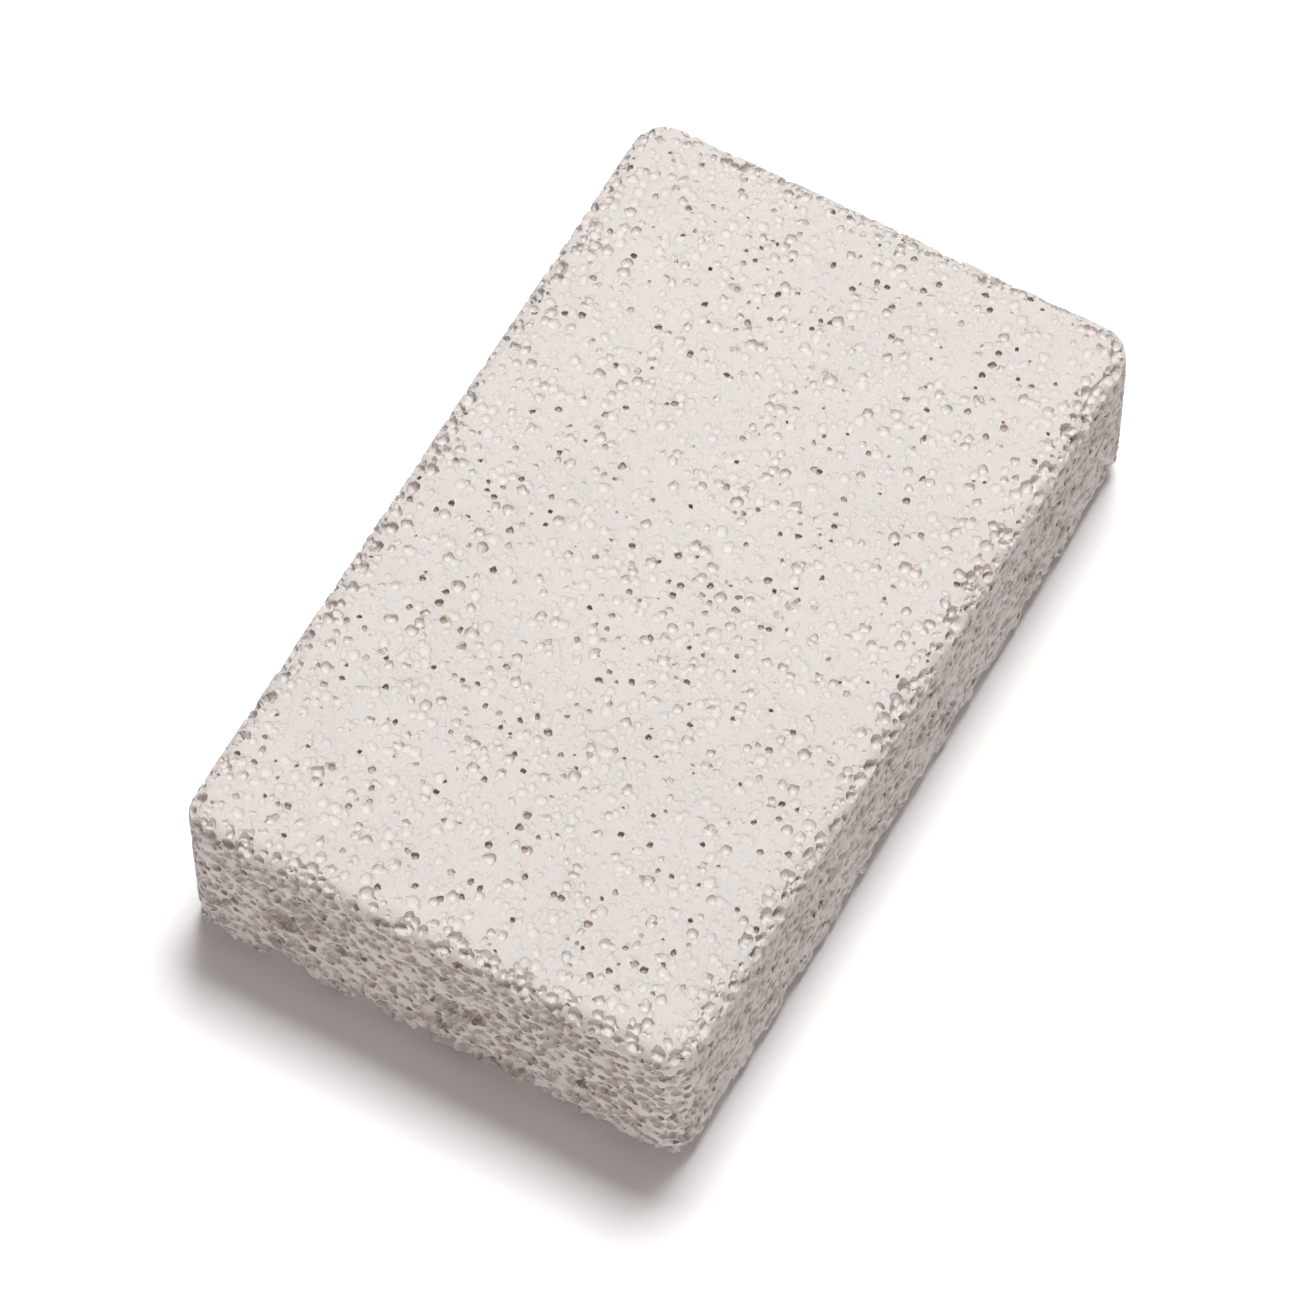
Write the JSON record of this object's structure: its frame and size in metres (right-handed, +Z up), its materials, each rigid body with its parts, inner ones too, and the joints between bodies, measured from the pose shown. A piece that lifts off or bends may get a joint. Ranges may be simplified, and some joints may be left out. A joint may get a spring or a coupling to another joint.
{
  "type": "porous pumice block",
  "caption": "Off-white foamed stone bar for the hand, with rounded corners, softened edges and open pores all over.",
  "frame": {"origin": "centre of the face that the bar rests on", "axes": "+X along the length, +Y across the width, +Z up through the thickness"},
  "size_m": [0.095, 0.057, 0.023],
  "materials": {
    "foamed_stone": "dry, matt and gritty, warm off-white with grey-brown pores"
  },
  "bodies": {
    "root": {"block": "foamed_stone"}
  },
  "joints": []
}
